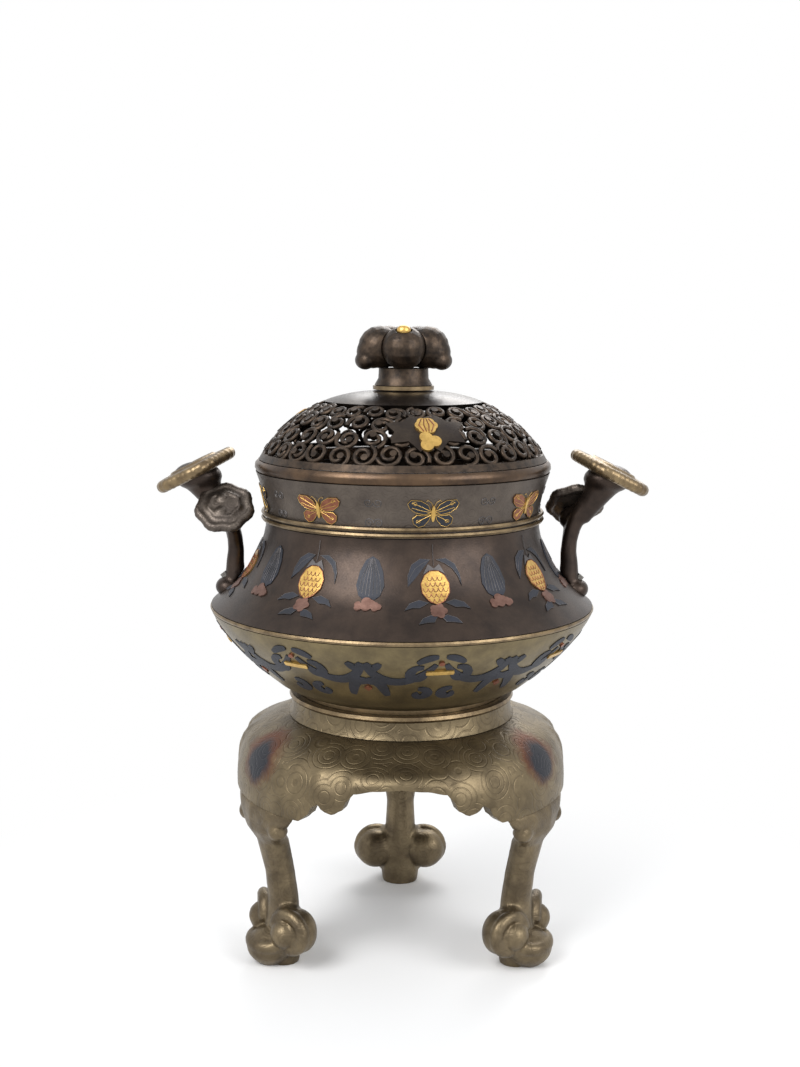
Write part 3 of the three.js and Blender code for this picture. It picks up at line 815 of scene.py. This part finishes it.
# %% Buds on the shoulder
SHOULDER_LEVEL = 169.0
SCALE_ROWS = 5
ROW_PITCH = 2.3
on_shoulder = carrier(outer_side(profiles["bowl_shoulder"]), SHOULDER_LEVEL)
bud = [(0, -7.4), (3.2, -5.6), (5.4, -2.2), (5.6, 1.6), (4.0, 5.0), (1.6, 6.8), (-1.6, 6.8),
       (-4.0, 5.0), (-5.6, 1.6), (-5.4, -2.2), (-3.2, -5.6)]
calyx = [(-4.4, 5.4), (-2.2, 9.6), (0, 7.8), (2.2, 9.6), (4.4, 5.4), (2.2, 6.9), (0, 7.3), (-2.2, 6.9)]
scales = []
for row in range(SCALE_ROWS):
    y = 4.4 - ROW_PITCH * row
    for column in range(-2, 3):
        x = 2.0 * column + (row % 2)
        if abs(x) < 4.6 - 0.16 * (row - 2) ** 2:
            scales.append([(x - 1, y), (x - 0.6, y - 1.3), (x, y - 1.7), (x + 0.6, y - 1.3), (x + 1, y)])
plates("shoulder_buds", repeat(motif_azimuths, [bud]), on_shoulder, "bowl", gold, "brass_trim",
       thick=0.5, lift=0.2)
wires("bud_scales", repeat(motif_azimuths, scales + [closed_line(bud)]), on_shoulder, 0.17, "bowl",
      copper, "bronze_brown", lift=0.42)
plates("bud_calyxes", repeat(motif_azimuths, [calyx]), on_shoulder, "bowl", grey_inlay, "bronze_grey",
       thick=0.45, lift=0.15)
print("buds", MOTIFS, "with", len(scales), "scales each")

# %% Leaves and blossoms round each bud
arch_leaf = [(1.2, 11.4), (5.0, 11.8), (8.6, 9.4), (10.4, 5.0), (10.8, 0.4), (9.6, 4.4), (7.4, 7.8),
             (4.6, 9.8)]
side_leaf = [(3.4, -6.4), (7.0, -5.2), (10.8, -6.6), (13.2, -9.8), (10.2, -8.6), (7.2, -8.6)]
fan_leaf = [(0.8, -12.6), (3.4, -12.2), (6.6, -13.6), (8.6, -16.4), (5.4, -15.6), (2.4, -15.4)]
bud_stem = [(0, 9), (0, 13), (0, 17.5)]
leaves = [arch_leaf, side_leaf, fan_leaf]
plates("shoulder_leaves", repeat(motif_azimuths, both_sides(leaves)), on_shoulder, "bowl", blue_black,
       "bronze_brown", thick=0.4, lift=0.1)
leaf_edges = both_sides([closed_line(leaf) for leaf in leaves]) + [bud_stem]
wires("leaf_edges", repeat(motif_azimuths, leaf_edges), on_shoulder, 0.1, "bowl", grey_inlay,
      "bronze_grey", lift=0.27)
plates("shoulder_blossoms", repeat(motif_azimuths, [flower(0, -10.2, 3.6, 5)]), on_shoulder, "bowl",
       blossom_copper, "bronze_brown", thick=0.5, lift=0.2)
print("leaves", 2 * len(leaves) * MOTIFS)

# %% [markdown]
# Midway between the buds stands a blue-black feather fan with grey quills, on a blossom shaped
# like a small cloud. The quills are wires that spread from the tip of the fan.

# %% Feather fans
fan = [(0, 12.6), (2.6, 11), (4.6, 6.4), (5.6, 0.6), (4.2, -3.6), (2.2, -5.4), (0, -4.2), (-2.2, -5.4),
       (-4.2, -3.6), (-5.6, 0.6), (-4.6, 6.4), (-2.6, 11)]
quills = [[(x * 0.2, 11.5), (x * 0.8, 4), (x, -3.6 + abs(x) * 0.3)]
          for x in (-4.4, -3.0, -1.5, 0, 1.5, 3.0, 4.4)]
cloud = [flower(x, y, radius, 3) for x, y, radius in ((0, -7.4, 3.2), (3.4, -8.4, 2.2), (-3.4, -8.4, 2.2))]
plates("feather_fans", repeat(middle_azimuths, [fan]), on_shoulder, "bowl", blue_black, "bronze_grey",
       thick=0.4, lift=0.1)
wires("feather_lines", repeat(middle_azimuths, quills), on_shoulder, 0.12, "bowl", grey_inlay,
      "bronze_grey", lift=0.27)
plates("cloud_blossoms", repeat(middle_azimuths, cloud), on_shoulder, "bowl", blossom_copper,
       "bronze_brown", thick=0.5, lift=0.2)
print("fans", MOTIFS)

# %% [markdown]
# The belly carries one bold blue-black band. Arches swing between short gold bars and cross
# midway, with curls beside each bar and below it, and commas above. The ribbons are drawn for
# one half of a motif, mirrored, and repeated round the bowl.

# %% Scroll band on the belly
BELLY_LEVEL = 138.0
BAND_RADIUS = 76
BAND_STEPS = 16
BAND_WIDTH = 4.4
COMMA_WIDTH = 3.2
on_belly = carrier(outer_side(profiles["bowl_belly"]), BELLY_LEVEL)
half_pitch = math.pi * BAND_RADIUS / MOTIFS
steps = sweep(0, 1, BAND_STEPS)
arch = [(2 + (half_pitch - 2) * t, 4.5 - 11 * math.sin(math.pi * t) ** 0.8) for t in steps]
bar_curl = curl(8.0, -1.6, 4.6, 0.95, math.pi * 0.6, -1, BAND_STEPS)
crossing = [(half_pitch - 12 * t, -8 - 9 * t + 6 * math.sin(math.pi * t)) for t in steps]
low_curl = curl(5.6, -15.5, 4.0, 0.9, math.pi * 0.4, 1, BAND_STEPS)
bridge = [(half_pitch - 6 * t, 5 - 3 * math.sin(math.pi * t)) for t in steps]
comma = [(1.5 + 8 * t, 8.6 - 3.2 * t * t) for t in steps]
scroll_band = both_sides([arch, bar_curl, crossing, low_curl, bridge])
ribbons("belly_band", repeat(motif_azimuths, scroll_band), BAND_WIDTH, on_belly, "bowl", blue_black,
        "bronze_olive", thick=0.45, lift=0.12)
ribbons("belly_commas", repeat(motif_azimuths, both_sides([comma])), COMMA_WIDTH, on_belly, "bowl",
        blue_black, "bronze_olive", thick=0.45, lift=0.12)
print("ribbons round the belly", MOTIFS * len(scroll_band))

# %% Gold bars and copper dots
bar = [(-5.4, -1.0), (5.4, -1.0), (5.6, 0), (5.4, 1.0), (-5.4, 1.0), (-5.6, 0)]
lozenge = [(0, -9), (1.6, -11), (0, -13), (-1.6, -11)]
plates("belly_bars", repeat(motif_azimuths, [bar]), on_belly, "bowl", gold, "brass_trim",
       thick=1.0, lift=0.45)
dots = repeat(motif_azimuths, [oval(0, 5.2, 1.2, 1.0)]) + repeat(middle_azimuths, [lozenge])
plates("belly_dots", dots, on_belly, "bowl", copper, "bronze_olive", thick=0.8, lift=0.3)
print("bars and dots", MOTIFS + len(dots))

# %% [markdown]
# The dome is pierced, so no single section shows its outline. Its lathe rings do: many vertices
# share one height and radius there. The rings' outer line bulges everywhere, so each point
# that lies inside the line from its neighbours is dropped, and the rest is rounded twice.

# %% Outline of the dome
RING_VERTICES = 24
rings = {}
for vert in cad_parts["lid_dome"].data.vertices:
    ring = (round(vert.co.z / MM, 2), round(math.hypot(vert.co.x, vert.co.y) / MM, 2))
    rings[ring] = rings.get(ring, 0) + 1
bulge = []
for z, r in sorted(ring for ring, count in rings.items() if count >= RING_VERTICES):
    while len(bulge) > 1 and ((bulge[-1][0] - bulge[-2][0]) * (r - bulge[-1][1])
                              - (bulge[-1][1] - bulge[-2][1]) * (z - bulge[-1][0])) >= 0:
        bulge.pop()
    bulge.append((z, r))
dome_side = [(r * MM, z * MM) for z, r in bulge]
if dome_side[0][1] == dome_side[1][1]:
    dome_side = dome_side[1:]


def rounded(points):
    smooth = [points[0]]
    for (r0, z0), (r1, z1) in zip(points, points[1:]):
        smooth += [(r0 + (r1 - r0) * s, z0 + (z1 - z0) * s) for s in (0.25, 0.75)]
    return smooth + [points[-1]]


dome_side = rounded(rounded(dome_side))
print("dome from", dome_side[0], "to", dome_side[-1])

# %% [markdown]
# The lid is openwork between a plain crown and a plain band. Both are spun from the dome's
# outline, the crown from the finial's bore outwards and the band up from the rim.

# %% Crown and band
DOME_WALL = 2.2 * MM
BORE = 2.9 * MM
CROWN_RADIUS = 36 * MM
BAND_LEVEL = 216.0
on_dome = carrier(dome_side, BAND_LEVEL)
crown_side = [(BORE, dome_side[-1][1])]
crown_side += [(r, z) for r, z in reversed(dome_side) if BORE < r <= CROWN_RADIUS]
crown_inner = [(max(r - 0.6 * DOME_WALL, BORE), z - DOME_WALL) for r, z in crown_side]
finish_piece(spun("lid_crown", crown_side + crown_inner[::-1]), "lid", crown_bronze, "bronze_dark")
band_side = [(r, z) for r, z in dome_side if z < BAND_LEVEL * MM]
band_side.append((on_dome(0, 0, 0, 0).x, BAND_LEVEL * MM))
band_inner = [(r - DOME_WALL, z) for r, z in reversed(band_side)]
finish_piece(spun("lid_dome_band", band_side + band_inner), "lid", lid_bronze, "bronze_dark", "lid_dome")
print("crown out to", CROWN_RADIUS, "band up to", BAND_LEVEL * MM)

# %% [markdown]
# Four rows of curls fill the openwork. Each is a round bar with a flat bulb at its inner end,
# a little wider than its share of the row, so neighbours touch and the lid holds together.
# Sines of the count stand for chance, so every run gives the same curls.

# %% Tendrils on the dome
# Each row gives its height above the band, the curls' radius, their number and the row's shift.
CURL_ROWS = [(4.6, 5.4, 34, 0), (13.2, 5.3, 30, 5), (21.6, 4.9, 28, 2), (29.2, 4.3, 28, 8)]
TENDRIL_RADIUS = 0.95
TENDRIL_SHRINK = 0.72
TENDRIL_STEPS = 18
BULB_RADIUS = 1.45


def tendril(y, radius, turns, start, way):
    points = []
    for i in range(TENDRIL_STEPS + 1):
        share = i / TENDRIL_STEPS
        turn = start + way * FULL_TURN * turns * share
        reach = radius * (1 - TENDRIL_SHRINK * share)
        points.append((reach * math.cos(turn), y + reach * math.sin(turn)))
    return points


tendrils, bulbs = [], []
for y, radius, count, shift in CURL_ROWS:
    for i in range(count):
        way = 1 if (i + shift) % 3 else -1
        turns = 1.35 + 0.15 * math.sin(i * 1.3)
        line = tendril(y + 0.8 * math.sin(2.1 * i), radius, turns, i * 2.4 + shift, way)
        where = shift + 360 * i / count
        tendrils.append((line, where))
        bulbs.append((oval(*line[-1], BULB_RADIUS, BULB_RADIUS, count=10), where))
wires("lid_tendrils", tendrils, on_dome, TENDRIL_RADIUS, "lid", lid_bronze, "bronze_dark", lift=-0.9,
      roundness=3)
plates("lid_bulbs", bulbs, on_dome, "lid", lid_bronze, "bronze_dark", thick=2.2, lift=-0.8)
print("tendrils", len(tendrils))

# %% [markdown]
# Three leaf-shaped panels lie over the tendrils, the front one a little right of the middle.
# Each carries a gilt fruit with copper stripes above a gilt trefoil.

# %% Panels with gilt fruit
PANEL_COUNT = 3
FIRST_PANEL = 281
PANEL_RISE = 6
TREFOIL_RISE = 10.6
panel = [(0, 17), (5, 20), (9, 16), (16, 15), (13, 10), (15, 4), (8, 5), (4, 0), (0, 3), (-4, 0),
         (-8, 5), (-15, 4), (-13, 10), (-16, 15), (-9, 16), (-5, 20)]
panel_azimuths = [FIRST_PANEL + 360 / PANEL_COUNT * i for i in range(PANEL_COUNT)]
raised_panel = [(x, y + PANEL_RISE) for x, y in panel]
plates("lid_panels", repeat(panel_azimuths, [raised_panel]), on_dome, "lid", crown_bronze,
       "bronze_dark", thick=2.4, lift=-0.6)
fruit = flower(0, 19, 4.6, 6, 0.12)
trefoil = [(x, y + TREFOIL_RISE) for x, y in flower(0, 0, 4.8, 3, 0.4)]
plates("lid_gilt_fruit", repeat(panel_azimuths, [fruit, trefoil]), on_dome, "lid", gold, "brass_trim",
       thick=1.2, lift=0.8)
stripes = [[(x * 0.5, 22.6), (x, 19), (x * 0.5, 15.4)] for x in (-3, -1, 1, 3)]
wires("fruit_stripes", repeat(panel_azimuths, stripes), on_dome, 0.22, "lid", copper, "bronze_dark",
      lift=1.5)
print("panels", PANEL_COUNT)

# %% [markdown]
# The dowels, pins, washer and nut are hidden or nearly so. They keep their CAD shape, and only
# get plain worn iron in place of the frame's flat colour.

# %% Fixings
FIXINGS = ["leg_dowel_left", "leg_dowel_right", "leg_dowel_back", "handle_pin_left",
           "handle_pin_right", "finial_washer", "finial_nut"]
for node in FIXINGS:
    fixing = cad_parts[node]
    fixing.data.materials.clear()
    fixing.data.materials.append(iron)
print("fixings", len(FIXINGS))

# %% [markdown]
# The burner stands on a wide flat floor. Near it the floor is white paint, which takes the
# shadow. Further out it fades into an even white glow, so no horizon shows. A curved backdrop
# could hide the horizon too, but the fade needs no shape of its own.

# %% Floor
FLOOR_SIZE = 6
FLOOR_WHITE = (0.9, 0.9, 0.9, 1)
FLOOR_ROUGHNESS = 0.9
FADE_FROM = 0.06
FADE_TO = 0.24
bpy.ops.object.select_all(action="DESELECT")
bpy.ops.mesh.primitive_plane_add(size=FLOOR_SIZE, location=(0, 0, 0))
floor = bpy.context.object
floor.name = "floor"
floor_paint = bpy.data.materials.new("floor")
floor_paint.use_nodes = True
tree = floor_paint.node_tree
paint = tree.nodes["Principled BSDF"]
paint.inputs["Base Color"].default_value = FLOOR_WHITE
paint.inputs["Roughness"].default_value = FLOOR_ROUGHNESS
place = add_node(tree, "ShaderNodeTexCoord", {}).outputs["Object"]
far = add_node(tree, "ShaderNodeVectorMath", {0: place}, operation="LENGTH")
fade = add_node(tree, "ShaderNodeMapRange", {
    "Value": far.outputs["Value"], "From Min": FADE_FROM, "From Max": FADE_TO},
    interpolation_type="SMOOTHSTEP")
glow = add_node(tree, "ShaderNodeEmission", {})
blend = add_node(tree, "ShaderNodeMixShader", {
    "Fac": fade.outputs["Result"], 1: paint.outputs["BSDF"], 2: glow.outputs["Emission"]})
tree.links.new(blend.outputs["Shader"], tree.nodes["Material Output"].inputs["Surface"])
floor.data.materials.append(floor_paint)
print("floor", FLOOR_SIZE, "m wide")

# %% [markdown]
# Three soft lamps stand round the burner: a strong one at the left front, a weaker one at the
# right front, and one behind that draws a line of light on the rims.

# %% Lamps
LAMP_AIM = Vector((0, 0, 0.13))
LAMP_SIZE = 0.8
LAMPS = {"key": ((-0.7, -0.8, 1.0), 14), "fill": ((0.9, -0.7, 0.7), 8), "back": ((0.2, 0.9, 0.9), 8)}
for name, (place, power) in LAMPS.items():
    light = bpy.data.lights.new(name, "AREA")
    light.size = LAMP_SIZE
    light.energy = power
    lamp = bpy.data.objects.new(name, light)
    bpy.context.collection.objects.link(lamp)
    lamp.location = place
    lamp.rotation_euler = (LAMP_AIM - Vector(place)).to_track_quat("-Z", "Y").to_euler()
print("lamps", len(LAMPS))

# %% [markdown]
# Metal shows what is round it. The world lights the burner with a pale grey, and rays from the
# camera, from reflections and through glass see plain white instead.

# %% World
SKY_COLOUR = (0.9, 0.92, 0.95, 1)
SKY_STRENGTH = 0.55
world = bpy.data.worlds.new("world")
bpy.context.scene.world = world
world.use_nodes = True
tree = world.node_tree
sky = tree.nodes["Background"]
sky.inputs["Color"].default_value = SKY_COLOUR
sky.inputs["Strength"].default_value = SKY_STRENGTH
white = add_node(tree, "ShaderNodeBackground", {"Color": (1, 1, 1, 1), "Strength": 1})
rays = add_node(tree, "ShaderNodeLightPath", {})
seen = add_node(tree, "ShaderNodeMath", {
    0: rays.outputs["Is Camera Ray"], 1: rays.outputs["Is Glossy Ray"]}, operation="MAXIMUM")
seen_at_all = add_node(tree, "ShaderNodeMath", {
    0: seen.outputs["Value"], 1: rays.outputs["Is Transmission Ray"]}, operation="MAXIMUM")
choose = add_node(tree, "ShaderNodeMixShader", {
    "Fac": seen_at_all.outputs["Value"], 1: sky.outputs["Background"], 2: white.outputs["Background"]})
tree.links.new(choose.outputs["Shader"], tree.nodes["World Output"].inputs["Surface"])
bpy.context.scene.view_settings.view_transform = "Standard"
print("world ready")
